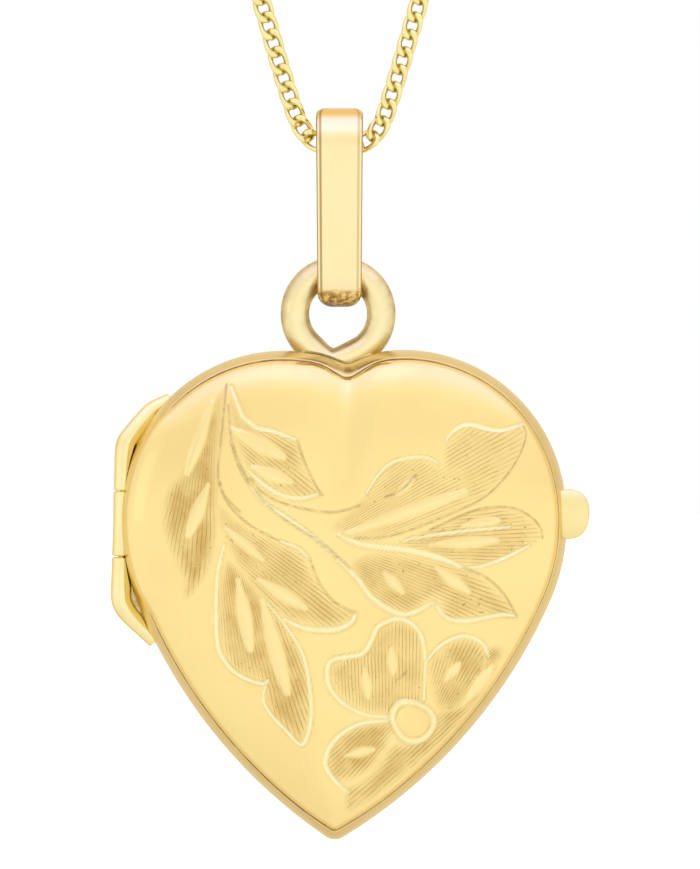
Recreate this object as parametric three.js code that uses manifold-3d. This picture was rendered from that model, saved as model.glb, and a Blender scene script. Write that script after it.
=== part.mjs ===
// A small engraved heart locket on a fine curb chain, in millimetres.
// +Z is up, the front of the locket faces -Y, and the origin is the chain's lowest point, inside the bail.
import * as THREE from 'three';
import { mergeVertices } from 'three/addons/utils/BufferGeometryUtils.js';
import Module from 'manifold-3d';

const wasm = await Module();
wasm.setup();

const { sqrt, cos, sin, asin, atan2, PI } = Math;
const radians = THREE.MathUtils.degToRad;

// ---------------------------------------------------------------- driving dimensions

// Heart outline: on each side a lobe, a flank and a long side arc, with a fillet in the cleft and at the tip.
const lobeOffset = 2.12;
const lobeRadius = 5.8;
const flankRadius = 7.0;
const flankAngle = radians(17);
const sideRadius = 18.5;
const sideAngle = radians(-22);
const tipRadius = 0.55;
const cleftRadius = 0.3;
const sharpestTip = 0.05;
const heartTilt = 0.028;

// Each half: a sloping rim with a shelf inside it, and a domed sheet on top of the rim.
const rimHeight = 0.9;
const rimSlope = 0.3;
const rimWall = 0.38;
const shelfHeight = 0.45;
const shelfWidth = 1.0;
const domeSeam = 0.03;
const domeRoll = 3.4;
const domeRise = 1.2;
const sheet = 0.25;
const domeSteps = 5;

// Closing lip and photo frames.
const lipThickness = 0.2;
const lipReach = 0.38;
const lipClearance = 0.03;
const frameWidth = 0.6;
const frameHeight = 0.28;
const frameClearance = 0.12;

// Hinge.
const knuckleRadius = 0.375;
const hingeInset = 0.14;
const hingeTop = 2.34;
const middleTop = 0.5;
const middleBottom = -1.84;
const hingeBottom = -3.55;
const topEarReach = 1.85;
const topEarSlope = 0.88;
const bottomEarReach = 1.4;
const bottomEarSlope = 1.07;
const earThickness = 0.36;
const hingeGap = 0.05;
const pinRadius = 0.15;
const pinClearance = 0.02;
const pinStop = 0.2;

// Thumb nib on the cover.
const nibReach = 0.77;
const nibLength = 1.78;
const nibThickness = 0.56;
const nibHeight = 0.12;

// Ring on the case, and the bail that hangs in it.
const ringRadius = 1.54;
const ringWire = 1.02;
const ringX = -0.05;
const ringLeftOfCleft = 0.39;
const ringAboveCleft = 0.07;
const ringFromParting = 0.45;
const ringPlay = 0.49;
const coverClearance = 0.05;
const bailWidth = 1.68;
const bailFootWidth = 1.56;
const bailHeight = 7.1;
const bailTopRadius = 1.43;
const bailBottomRadius = 1.25;
const bailSheet = 0.3;
const bailEdge = 0.1;

// Chain and its end fittings.
const chainWidth = 0.7;
const chainGap = 0.1;
const chainSteps = 44;
const chainRoute = [
  [5.6, 14.6], [4.18, 9.76], [2.76, 4.92], [1.87, 1.93], [1.4, 0.65], [0.87, 0.15], [0, 0],
  [-0.87, 0.17], [-1.34, 0.67], [-1.81, 1.91], [-2.7, 4.94], [-4.11, 9.77], [-5.53, 14.6],
];
const endRingRadius = 1.25;
const endRingWire = 0.5;
const linkRingRadius = 0.9;
const linkRingWire = 0.44;
const claspRadius = 2.0;
const claspTube = 1.0;
const claspBore = 0.64;
const claspEarRadius = 0.7;
const claspEarWire = 0.4;
const claspEarSink = 0.15;
const claspPlay = 0.03;
const claspMouthFrom = radians(25);
const claspMouthTo = radians(75);
const boltDiameter = 0.56;
const boltTail = radians(45);
const boltNose = radians(6);
const boltTravel = radians(50);
const triggerAngle = radians(0);
const triggerDiameter = 0.3;
const triggerReach = 1.0;
const triggerKnob = 0.44;
const slotWidth = 0.4;
const slotEnd = radians(7);

// ---------------------------------------------------------------- shaping helpers

// A closed triangle mesh as a manifold-3d solid, and back again.
function solidOf(geometry) {
  const bare = new THREE.BufferGeometry();
  bare.setAttribute('position', geometry.getAttribute('position').clone());
  if (geometry.index) bare.setIndex(geometry.index.clone());
  const merged = mergeVertices(bare, 1e-5);
  return new wasm.Manifold(new wasm.Mesh({
    numProp: 3,
    vertProperties: Float32Array.from(merged.getAttribute('position').array),
    triVerts: Uint32Array.from(merged.index.array),
  }));
}

function geometryOf(solid) {
  const mesh = solid.getMesh();
  const geometry = new THREE.BufferGeometry();
  geometry.setAttribute('position', new THREE.BufferAttribute(mesh.vertProperties, 3));
  geometry.setIndex(new THREE.BufferAttribute(mesh.triVerts, 1));
  geometry.computeVertexNormals();
  return geometry;
}

// The centre of the fillet between the lobes.
const cleftZ = sqrt((lobeRadius + cleftRadius) ** 2 - lobeOffset ** 2);

// The right half of the heart, from the cleft to the tip, as arcs drawn `inset` inside the outline.
function heartArcs(inset) {
  const flank = {
    x: lobeOffset + (lobeRadius - flankRadius) * cos(flankAngle),
    z: (lobeRadius - flankRadius) * sin(flankAngle),
  };
  const side = {
    x: flank.x + (flankRadius - sideRadius) * cos(sideAngle),
    z: flank.z + (flankRadius - sideRadius) * sin(sideAngle),
  };
  const cleftTurn = atan2(lobeOffset, cleftZ);
  const tip = Math.max(tipRadius - inset, sharpestTip);
  const tipZ = side.z - sqrt((sideRadius - inset - tip) ** 2 - side.x ** 2);
  const tipAngle = atan2(tipZ - side.z, -side.x);
  return [
    { x: 0, z: cleftZ, radius: cleftRadius + inset, from: -PI / 2, to: cleftTurn - PI / 2, steps: 3 },
    { x: lobeOffset, z: 0, radius: lobeRadius - inset, from: PI / 2 + cleftTurn, to: flankAngle, steps: 12 },
    { ...flank, radius: flankRadius - inset, from: flankAngle, to: sideAngle, steps: 5 },
    { ...side, radius: sideRadius - inset, from: sideAngle, to: tipAngle, steps: 10 },
    { x: 0, z: tipZ, radius: tip, from: tipAngle, to: -PI / 2, steps: 3 },
  ];
}

// The whole heart as a loop of points, clockwise from the cleft when it is seen from the front.
function heartLoop(inset) {
  const right = [];
  for (const arc of heartArcs(inset)) {
    for (let k = 0; k < arc.steps; k += 1) {
      const angle = arc.from + (arc.to - arc.from) * (k / arc.steps);
      right.push([arc.x + arc.radius * cos(angle), arc.z + arc.radius * sin(angle)]);
    }
  }
  const tip = heartArcs(inset).at(-1);
  const left = right.slice(1).reverse().map(([x, z]) => [-x, z]);
  return [...right, [0, tip.z - tip.radius], ...left];
}

// A skin through heart loops, one at each [inset, y] of a profile: capped at both ends, or closed on itself.
function heartLoft(profile, capped) {
  const loops = profile.map(([inset, y]) => heartLoop(inset).map(([x, z]) => new THREE.Vector3(x, y, z)));
  const count = loops[0].length;
  const last = (loops.length - 1) * count;
  const index = [];
  for (let row = 0; row < (capped ? loops.length - 1 : loops.length); row += 1) {
    const here = row * count;
    const next = ((row + 1) % loops.length) * count;
    for (let k = 0; k < count; k += 1) {
      const k2 = (k + 1) % count;
      index.push(here + k, here + k2, next + k, here + k2, next + k2, next + k);
    }
  }
  if (capped) {
    const flat = (loop) => loop.map((point) => new THREE.Vector2(point.x, point.z));
    for (const [a, b, c] of THREE.ShapeUtils.triangulateShape(flat(loops[0]), [])) index.push(a, b, c);
    for (const [a, b, c] of THREE.ShapeUtils.triangulateShape(flat(loops.at(-1)), [])) {
      index.push(last + a, last + c, last + b);
    }
  }
  const geometry = new THREE.BufferGeometry().setFromPoints(loops.flat());
  geometry.setIndex(index);
  geometry.computeVertexNormals();
  return geometry;
}

// The same profile for the back half (side 1) or, mirrored, for the front half (side -1).
function onSide(profile, side) {
  return side > 0 ? profile : profile.map(([inset, y]) => [inset, -y]).reverse();
}

// A box between two corners.
function block(low, high) {
  const size = high.map((value, axis) => value - low[axis]);
  const centre = high.map((value, axis) => (value + low[axis]) / 2);
  return new THREE.BoxGeometry(...size).translate(...centre);
}

// A torus lying in the XZ plane.
function ring(radius, wire, around, along) {
  return new THREE.TorusGeometry(radius, wire / 2, around, along).rotateX(PI / 2);
}

// A circular arc in the XZ plane, centred on the origin, as a path to extrude along.
class ArcPath extends THREE.Curve {
  constructor(radius, from, to) {
    super();
    this.radius = radius;
    this.from = from;
    this.to = to;
  }

  getPoint(t, target = new THREE.Vector3()) {
    const angle = this.from + (this.to - this.from) * t;
    return target.set(this.radius * cos(angle), 0, this.radius * sin(angle));
  }
}

function disc(radius, sides) {
  const points = [];
  for (let k = 0; k < sides; k += 1) {
    const angle = (2 * PI * k) / sides;
    points.push(new THREE.Vector2(radius * cos(angle), radius * sin(angle)));
  }
  return new THREE.Shape(points);
}

function gold(color, roughness) {
  return new THREE.MeshStandardMaterial({ color, roughness, metalness: 1 });
}

function add(parent, name, geometry, material) {
  const mesh = new THREE.Mesh(geometry, material);
  mesh.name = name;
  parent.add(mesh);
  return mesh;
}

const polished = gold('#f6dc9a', 0.22);
const engraved = gold('#f2d58c', 0.32);
const satin = gold('#e6c47c', 0.4);
const wire = gold('#f3dd96', 0.28);

// ---------------------------------------------------------------- heart halves

const rimProfile = [
  [0, 0], [rimSlope, rimHeight], [shelfWidth, rimHeight],
  [shelfWidth, shelfHeight], [rimWall, shelfHeight], [rimWall, 0],
];
const domeEdge = rimSlope + domeSeam;

// The dome's quarter-ellipse section, from its foot on the rim to its flat middle.
function domeArc(start, roll, rise) {
  const points = [];
  for (let k = 0; k <= domeSteps; k += 1) {
    const angle = (PI / 2) * (k / domeSteps);
    points.push([start + roll * (1 - cos(angle)), rimHeight + rise * sin(angle)]);
  }
  return points;
}

const domeOutside = domeArc(domeEdge, domeRoll, domeRise);
const domeInside = domeArc(domeEdge + sheet, domeRoll - sheet, domeRise - sheet);
const domeProfile = [...domeInside.reverse(), ...domeOutside];
const rimFilled = [[0, 0], [rimSlope, rimHeight]];

const halfWidth = Math.max(...heartLoop(0).map(([x]) => x));
const hingeX = hingeInset - halfWidth;

function rod(radius, low, high, sides) {
  const cylinder = new THREE.CylinderGeometry(radius, radius, high - low, sides).rotateX(PI / 2);
  return cylinder.translate(hingeX, 0, (low + high) / 2);
}

// An end knuckle: a tube with a slanted end, and the ear that joins it to the case's rim.
function endKnuckle(inner, outer, reach, slope) {
  const left = hingeX - knuckleRadius;
  const right = left + reach;
  const far = outer + Math.sign(outer - inner) * reach * slope;
  const outline = new THREE.Shape([[left, inner], [left, outer], [right, far], [right, inner]]
    .map(([x, z]) => new THREE.Vector2(x, z)));
  const slanted = new THREE.ExtrudeGeometry(outline, { depth: 4 * knuckleRadius, bevelEnabled: false })
    .rotateX(PI / 2).translate(0, 2 * knuckleRadius, 0);
  const low = Math.min(inner, far);
  const high = Math.max(inner, far);
  const ear = solidOf(block([hingeX, hingeGap, low], [right, earThickness, high]))
    .subtract(solidOf(heartLoft(rimFilled, true)));
  return solidOf(rod(knuckleRadius, low, high, 24)).add(ear).intersect(solidOf(slanted));
}

const knuckleTop = endKnuckle(middleTop + hingeGap / 2, hingeTop, topEarReach, topEarSlope);
const knuckleBottom = endKnuckle(middleBottom - hingeGap / 2, hingeBottom, bottomEarReach, bottomEarSlope);
const knuckleMiddle = solidOf(rod(knuckleRadius, middleBottom + hingeGap / 2, middleTop - hingeGap / 2, 24));
const bore = solidOf(rod(pinRadius + pinClearance, hingeBottom + pinStop / 2, hingeTop - pinStop / 2, 16));
const turningRadius = knuckleRadius + hingeGap;

const backRim = solidOf(heartLoft(onSide(rimProfile, 1), false))
  .subtract(knuckleTop)
  .subtract(knuckleBottom)
  .subtract(solidOf(rod(turningRadius, middleBottom - hingeGap, middleTop + hingeGap, 24)));
const frontRim = solidOf(heartLoft(onSide(rimProfile, -1), false))
  .subtract(knuckleMiddle)
  .subtract(solidOf(rod(turningRadius, middleTop - hingeGap, hingeTop + topEarReach, 24)))
  .subtract(solidOf(rod(turningRadius, hingeBottom - bottomEarReach, middleBottom + hingeGap, 24)));

// The lip stands up inside the case's rim and enters the cover; it is left out along the hinge.
const lipRing = heartLoft([
  [rimWall + lipClearance, -lipReach], [rimWall, shelfHeight],
  [rimWall + lipThickness, shelfHeight], [rimWall + lipThickness, -lipReach],
], false);
const lipCut = block(
  [hingeX - 1, -rimHeight, hingeBottom - knuckleRadius],
  [hingeX + 3 * knuckleRadius, rimHeight, hingeTop + knuckleRadius],
);

const frameOuter = rimWall + lipThickness + frameClearance;
const frameProfile = [
  [frameOuter, shelfHeight - frameHeight], [frameOuter, shelfHeight],
  [frameOuter + frameWidth, shelfHeight], [frameOuter + 0.8 * frameWidth, shelfHeight - frameHeight],
];

// ---------------------------------------------------------------- locket

// The ring hangs in the bail with some play, and the heart hangs from the ring.
const bailBottomZ = bailTopRadius + bailBottomRadius - bailHeight;
const ringTopZ = bailBottomZ - bailBottomRadius + bailSheet + ringPlay + ringWire / 2;
const ringAboveHeart = cleftZ - cleftRadius + ringAboveCleft + ringRadius;

const locket = new THREE.Group();
const heart = new THREE.Group();
heart.position.set(
  ringX + ringLeftOfCleft * cos(heartTilt) - ringAboveHeart * sin(heartTilt),
  -ringFromParting,
  ringTopZ - ringRadius - ringLeftOfCleft * sin(heartTilt) - ringAboveHeart * cos(heartTilt),
);
heart.rotation.y = heartTilt;
locket.add(heart);

add(heart, 'back_dome', heartLoft(onSide(domeProfile, 1), true), polished);
add(heart, 'back_rim', geometryOf(backRim), polished);
add(heart, 'closing_lip', geometryOf(solidOf(lipRing).subtract(solidOf(lipCut))), satin);
add(heart, 'back_photo_frame', heartLoft(onSide(frameProfile, 1), false), satin);
add(heart, 'hinge_knuckle_top', geometryOf(knuckleTop.subtract(bore)), polished);
add(heart, 'hinge_knuckle_bottom', geometryOf(knuckleBottom.subtract(bore)), polished);
add(heart, 'hinge_pin', rod(pinRadius, hingeBottom + pinStop, hingeTop - pinStop, 16), satin);

add(heart, 'front_dome', heartLoft(onSide(domeProfile, -1), true), engraved);
add(heart, 'front_rim', geometryOf(frontRim), polished);
add(heart, 'front_photo_frame', heartLoft(onSide(frameProfile, -1), false), satin);
add(heart, 'hinge_knuckle_middle', geometryOf(knuckleMiddle.subtract(bore)), polished);

const nib = new THREE.SphereGeometry(1, 20, 14)
  .scale(nibReach, nibThickness / 2, nibLength / 2)
  .translate(halfWidth, -rimHeight / 2, nibHeight);
add(heart, 'thumb_nib', geometryOf(solidOf(nib)
  .subtract(solidOf(heartLoft(onSide(rimFilled, -1), true)))), polished);

// The ring's foot is fitted over the case's rim, clear of the cover.
const coverRoom = heartLoft([
  [-coverClearance, -domeRise - rimHeight], [-coverClearance, coverClearance],
], true);
const ringSolid = solidOf(ring(ringRadius, ringWire, 14, 40)
  .translate(-ringLeftOfCleft, ringFromParting, ringAboveHeart))
  .subtract(solidOf(heartLoft([...rimFilled, ...domeOutside], true)))
  .subtract(solidOf(coverRoom));
add(heart, 'top_ring', geometryOf(ringSolid), polished);

// ---------------------------------------------------------------- bail

// One side of the bail's closed band, seen from the side: two round ends joined by straight sides.
function bandLoop(topRadius, bottomRadius, bottomZ) {
  const lean = asin((topRadius - bottomRadius) / -bottomZ);
  const path = new THREE.Shape();
  path.absarc(0, 0, topRadius, -lean, PI + lean, false);
  path.absarc(0, bottomZ, bottomRadius, PI + lean, 2 * PI - lean, false);
  path.closePath();
  return path;
}

// The band, drawn in by a small share of its width as it goes down.
function bail() {
  const band = bandLoop(bailTopRadius - bailEdge, bailBottomRadius - bailEdge, bailBottomZ);
  const inset = bailSheet - bailEdge;
  const opening = bandLoop(bailTopRadius - inset, bailBottomRadius - inset, bailBottomZ);
  band.holes.push(new THREE.Path(opening.getPoints(16)));
  const geometry = new THREE.ExtrudeGeometry(band, {
    depth: bailWidth - 2 * bailEdge,
    curveSegments: 16,
    bevelThickness: bailEdge,
    bevelSize: bailEdge,
    bevelSegments: 2,
  }).translate(0, 0, bailEdge - bailWidth / 2).rotateZ(PI / 2).rotateY(PI / 2);
  const position = geometry.getAttribute('position');
  for (let k = 0; k < position.count; k += 1) {
    const down = (bailTopRadius - position.getZ(k)) / bailHeight;
    position.setX(k, position.getX(k) * (1 + down * (bailFootWidth / bailWidth - 1)));
  }
  return geometry;
}

add(locket, 'bail', bail(), polished);

// ---------------------------------------------------------------- chain and its fittings

const routePoints = chainRoute.map(([x, z]) => new THREE.Vector3(x, 0, z));
const route = new THREE.CatmullRomCurve3(routePoints, false, 'centripetal');
const chain = new THREE.ExtrudeGeometry(disc(chainWidth / 2, 8), { steps: chainSteps, extrudePath: route });
add(locket, 'chain', chain, wire);

// A group at one end of the chain, with its +Z pointing on along the chain.
function atChainEnd(t) {
  const end = new THREE.Group();
  const along = route.getTangent(t).multiplyScalar(t > 0.5 ? 1 : -1);
  end.position.copy(route.getPoint(t));
  end.rotation.y = atan2(along.x, along.z);
  locket.add(end);
  return end;
}

const plainEnd = atChainEnd(0);
add(plainEnd, 'end_ring', ring(endRingRadius, endRingWire, 10, 28), wire)
  .position.z = chainGap + endRingRadius + endRingWire / 2;

const claspEnd = atChainEnd(1);
const linkZ = chainGap + linkRingRadius + linkRingWire / 2;
add(claspEnd, 'clasp_link_ring', ring(linkRingRadius, linkRingWire, 10, 24).rotateZ(PI / 2), wire)
  .position.z = linkZ;

// The clasp is a hollow ring with a mouth, a slot for the trigger and an ear that hangs in the link ring.
const earZ = linkZ + linkRingRadius - linkRingWire / 2 - claspPlay - claspEarWire / 2 + claspEarRadius;
const claspEdge = claspRadius + claspTube / 2 - claspEarSink;
const claspZ = earZ + claspEarRadius + claspEarWire / 2 + claspEdge;
const tubeSection = disc(claspTube / 2, 12);
tubeSection.holes.push(new THREE.Path(disc(claspBore / 2, 12).getPoints().reverse()));
const tube = new THREE.ExtrudeGeometry(tubeSection, {
  steps: 36,
  extrudePath: new ArcPath(claspRadius, claspMouthTo, claspMouthFrom + 2 * PI),
});

// A flat piece of a ring between two radii and two angles, standing across the XZ plane.
function sector(inner, outer, from, to, width) {
  const shape = new THREE.Shape();
  shape.absarc(0, 0, outer, from, to, false);
  shape.absarc(0, 0, inner, to, from, true);
  shape.closePath();
  return new THREE.ExtrudeGeometry(shape, { depth: width, curveSegments: 12, bevelEnabled: false })
    .rotateX(PI / 2).translate(0, width / 2, 0);
}

const slotFrom = triggerAngle - boltTravel - slotEnd;
const slot = sector(claspRadius, claspRadius + claspTube, slotFrom, triggerAngle + slotEnd, slotWidth);
const ear = ring(claspEarRadius, claspEarWire, 10, 20).translate(0, 0, earZ - claspZ);
add(claspEnd, 'clasp_body', geometryOf(solidOf(tube).subtract(solidOf(slot)).add(solidOf(ear))), wire)
  .position.z = claspZ;

const boltRod = new THREE.ExtrudeGeometry(disc(boltDiameter / 2, 10), {
  steps: 12,
  extrudePath: new ArcPath(claspRadius, claspMouthFrom - boltTail, claspMouthTo + boltNose),
});
const triggerStem = new THREE.CylinderGeometry(triggerDiameter / 2, triggerDiameter / 2, triggerReach, 10)
  .rotateZ(PI / 2).translate(claspRadius + triggerReach / 2, 0, 0).rotateY(-triggerAngle);
const triggerBall = new THREE.SphereGeometry(triggerKnob / 2, 10, 8)
  .translate(claspRadius + triggerReach, 0, 0).rotateY(-triggerAngle);
const bolt = solidOf(boltRod).add(solidOf(triggerStem)).add(solidOf(triggerBall));
add(claspEnd, 'clasp_bolt', geometryOf(bolt), satin).position.z = claspZ;

export default locket;
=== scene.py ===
"""A small engraved heart locket that hangs on a fine curb chain: the finished look of each part.

Shapes are worked in millimetres and made metres when they are finished.
"""

from math import acos, asin, atan2, cos, exp, hypot, pi, radians, sin, sqrt

import bmesh
import bpy
import numpy as np
from mathutils import Matrix, Vector


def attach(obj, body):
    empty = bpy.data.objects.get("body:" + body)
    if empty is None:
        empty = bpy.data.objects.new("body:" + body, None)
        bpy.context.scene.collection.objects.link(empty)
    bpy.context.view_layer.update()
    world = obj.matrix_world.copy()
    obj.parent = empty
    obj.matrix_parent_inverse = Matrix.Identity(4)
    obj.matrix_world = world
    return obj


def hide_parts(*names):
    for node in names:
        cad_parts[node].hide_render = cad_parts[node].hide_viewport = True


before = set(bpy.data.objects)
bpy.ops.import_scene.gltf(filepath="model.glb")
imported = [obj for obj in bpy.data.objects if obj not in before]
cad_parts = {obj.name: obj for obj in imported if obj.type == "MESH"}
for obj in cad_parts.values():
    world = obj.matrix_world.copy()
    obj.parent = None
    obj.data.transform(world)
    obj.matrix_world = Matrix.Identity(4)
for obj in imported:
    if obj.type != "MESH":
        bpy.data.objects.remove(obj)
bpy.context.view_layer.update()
scene = bpy.context.scene
MM = 0.001

# ---- sizes, in millimetres

LOBE_OFFSET, LOBE_RADIUS = 2.12, 5.8
FLANK_RADIUS, FLANK_ANGLE = 7.0, radians(17)
SIDE_RADIUS, SIDE_ANGLE = 18.5, radians(-22)
TIP_RADIUS, CLEFT_RADIUS = 0.55, 0.3
CLEFT_Z = sqrt((LOBE_RADIUS + CLEFT_RADIUS) ** 2 - LOBE_OFFSET**2)

RIM_HEIGHT, RIM_WALL, RIM_GAP = 0.9, 0.38, 0.01
SHELF_HEIGHT, SHELF_WIDTH = 0.45, 1.0
DOME_EDGE, DOME_ROLL, DOME_RISE, SHEET = 0.33, 5.2, 1.2, 0.25
CREASE_WIDTH, CREASE_DEPTH = 0.5, 0.22
LOBE_DROP, CLEFT_DROP, TIP_LIFT, HINGE_HEM = 0.15, 0.15, 0.05, 0.13
LIP_THICKNESS, LIP_REACH, LIP_CLEARANCE = 0.2, 0.38, 0.03
FRAME_INSET, FRAME_WIDTH, FRAME_HEIGHT = 0.70, 0.6, 0.28

KNUCKLE_RADIUS, HINGE_INSET, HINGE_GAP = 0.375, 0.14, 0.05
HINGE_TOP, MIDDLE_TOP, MIDDLE_BOTTOM, HINGE_BOTTOM = 2.34, 0.5, -1.84, -3.55
UPPER_ARM_ROOM, LOWER_ARM_ROOM = 1.85, 1.4
PIN_RADIUS, PIN_STOP = 0.15, 0.2
EAR_LOW, EAR_HIGH, EAR_EASE, WALL_DEPTH = 0.03, 0.32, 0.03, 0.12
NIB_REACH, NIB_LENGTH, NIB_THICKNESS, NIB_Z = 0.77, 1.78, 0.56, 0.12
NIB_SQUARENESS, NIB_ROOT = 0.22, 0.35

RING_RADIUS, RING_WIRE = 1.54, 1.02
RING_X, RING_Y, RING_Z = -0.39, 0.45, 7.02867
NOTCH_DEPTH, NOTCH_ANGLE, NOTCH_SOFTNESS = 1.27, radians(-97), 0.0016
COVER_CLEARANCE, RING_SET = 0.05, 0.2
BLOCK_DEPTH = 2.2

BAIL_WIDTH, BAIL_FOOT_WIDTH, BAIL_HEIGHT, BAIL_SHEET = 1.68, 1.56, 7.1, 0.3
BAIL_TOP_RADIUS, BAIL_BOTTOM_RADIUS = 1.43, 1.25
BAIL_TOP_CORNER, BAIL_FOOT_CORNER, BAIL_EDGE = 0.28, 0.5, 0.13

CHAIN_WIDTH, LINK_PITCH = 0.7, 0.646
LINK_SIDE, LINK_END = (0.085, 0.13), (0.15, 0.085)
LINK_TWIST, LINK_SQUARENESS = radians(-40), 0.45
CHAIN_ROUTE = [
    (5.6, 14.6), (4.18, 9.76), (2.76, 4.92), (1.87, 1.93), (1.4, 0.65), (0.87, 0.15), (0, 0),
    (-0.87, 0.17), (-1.34, 0.67), (-1.81, 1.91), (-2.7, 4.94), (-4.11, 9.77), (-5.53, 14.6),
]
CHAIN_GAP = 0.1
END_RING_RADIUS, END_RING_WIRE = 1.25, 0.5
LINK_RING_RADIUS, LINK_RING_WIRE = 0.9, 0.44

HEART = Matrix.Translation((0.14304, -0.45, -12.94792)) @ Matrix.Rotation(0.028, 4, "Y")

# ---- camera


def placed(name, data):
    """A new object in the scene."""
    made = bpy.data.objects.new(name, data)
    scene.collection.objects.link(made)
    return made


camera = placed("camera", bpy.data.cameras.new("camera"))
camera.data.lens, camera.data.sensor_width = 300, 36
camera.data.clip_start, camera.data.clip_end = 0.01, 10
camera.location = (0.374 * MM, -258.3 * MM, -10.22 * MM)
camera.rotation_euler = (pi / 2, 0, 0)
scene.camera = camera

# ---- shader maths


class Value:
    """A socket that gives a value; arithmetic on it adds the Math nodes."""

    def __init__(self, graph, socket):
        self.graph, self.socket = graph, socket

    def maths(self, operation, *values):
        return self.graph.node("Math", {"operation": operation}, dict(enumerate(values)))

    def __add__(self, other):
        return self.maths("ADD", self, other)

    def __sub__(self, other):
        return self.maths("SUBTRACT", self, other)

    def __rsub__(self, other):
        return self.maths("SUBTRACT", other, self)

    def __mul__(self, other):
        return self.maths("MULTIPLY", self, other)

    __radd__, __rmul__ = __add__, __mul__

    def above(self, low, high):
        """From 0 at low to 1 at high, with a smooth rise between them."""
        return self.graph.node(
            "MapRange",
            {"interpolation_type": "SMOOTHSTEP"},
            {"Value": self, "From Min": low, "From Max": high},
        )


class Graph:
    """A node tree, written as calls."""

    def __init__(self, tree):
        self.tree = tree
        tree.nodes.clear()

    def node(self, kind, settings=None, inputs=None, output=0):
        made = self.tree.nodes.new("ShaderNode" + kind)
        for name, value in (settings or {}).items():
            setattr(made, name, value)
        for name, value in (inputs or {}).items():
            if isinstance(value, Value):
                self.tree.links.new(value.socket, made.inputs[name])
            else:
                made.inputs[name].default_value = value
        return Value(self, made.outputs[output]) if made.outputs else None

    def start(self):
        """Finds the point on the object, in millimetres."""
        spot = self.node("TexCoord", output="Object")
        self.here = self.node("VectorMath", {"operation": "SCALE"}, {0: spot, "Scale": 1 / MM})

    def noise(self, scale, detail, squeeze=(1, 1, 1)):
        """Noise through the object, finer along the axes that are squeezed."""
        place = self.node("VectorMath", {"operation": "MULTIPLY"}, {0: self.here, 1: squeeze})
        return self.node("TexNoise", inputs={"Vector": place, "Scale": scale, "Detail": detail})

    def clouds(self, scale):
        """Broad soft patches of tarnish."""
        return self.noise(scale, 3).above(0.35, 0.7)

    def parts(self, vector):
        made = self.tree.nodes.new("ShaderNodeSeparateXYZ")
        self.tree.links.new(vector.socket, made.inputs[0])
        return [Value(self, socket) for socket in made.outputs]

    def mix(self, share, first, second):
        return self.node(
            "Mix", {"data_type": "RGBA"}, {0: share, 6: first, 7: second}, output=2
        )

    def attribute(self, name):
        return self.node("Attribute", {"attribute_name": name}, output="Fac")

    def sockets(self, colour, roughness, coat, height, distance, strength):
        """A finish as the shader's sockets, its marks raised by height over a distance."""
        bump = {"Height": height, "Distance": distance * MM, "Strength": strength}
        return {
            "Base Color": colour, "Roughness": roughness, "Coat Weight": coat,
            "Normal": self.node("Bump", inputs=bump),
        }


def tone(red, green, blue):
    """A colour written as it looks, from 0 to 255, as the linear colour a shader takes."""
    shares = [value / 255 for value in (red, green, blue)]
    return tuple(v / 12.92 if v <= 0.04045 else ((v + 0.055) / 1.055) ** 2.4 for v in shares) + (1,)


def metal(name, build):
    """A material whose look is worked out by build, from a Graph to the shader's sockets."""
    material = bpy.data.materials.new(name)
    material.use_nodes = True
    graph = Graph(material.node_tree)
    graph.start()
    sockets = {"Metallic": 1.0, "Coat Roughness": 0.05, **build(graph)}
    shader = graph.node("BsdfPrincipled", inputs=sockets)
    graph.node("OutputMaterial", inputs={"Surface": shader})
    return material


def polished(colour, wear_and_edge_shade, roughness):
    """Polished gold: soft tarnish clouds, hairline polishing marks and pin-pricks."""

    def build(graph):
        clouds = graph.clouds(0.45)
        marks = graph.noise(6.0, 4)
        pricks = graph.noise(7.0, 1).above(0.72, 0.8)
        body = graph.mix(clouds * 0.35 + pricks * 0.3, colour, wear_and_edge_shade)
        shine = marks * 0.12 + clouds * 0.05 + roughness - 0.07
        return graph.sockets(body, shine, 0.12, marks * 0.6 - pricks, 0.004, 0.35)

    return build


def seamed(colour, wear_and_edge_shade, roughness, shade_strength=0.8):
    """Polished gold with painted shade in its seams and along its edges, as its attribute says."""

    def build(graph):
        clouds = graph.clouds(0.6)
        marks = graph.noise(5.0, 4, (3, 3, 0.6))
        # Painted shade in the seams and along the edges, broken up by noise, darkens the colour.
        painted_seam_shade = graph.attribute("painted_shade") * (graph.noise(2.0, 2).above(0.3, 0.6) * 0.6 + 0.4)
        body = graph.mix(clouds * 0.4, colour, wear_and_edge_shade)
        darkened = graph.mix(painted_seam_shade * shade_strength, body, tone(126, 98, 40))
        shine = marks * 0.12 + painted_seam_shade * 0.3 + roughness - 0.06
        return graph.sockets(darkened, shine, 0.1, marks, 0.004, 0.3)

    return build


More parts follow.
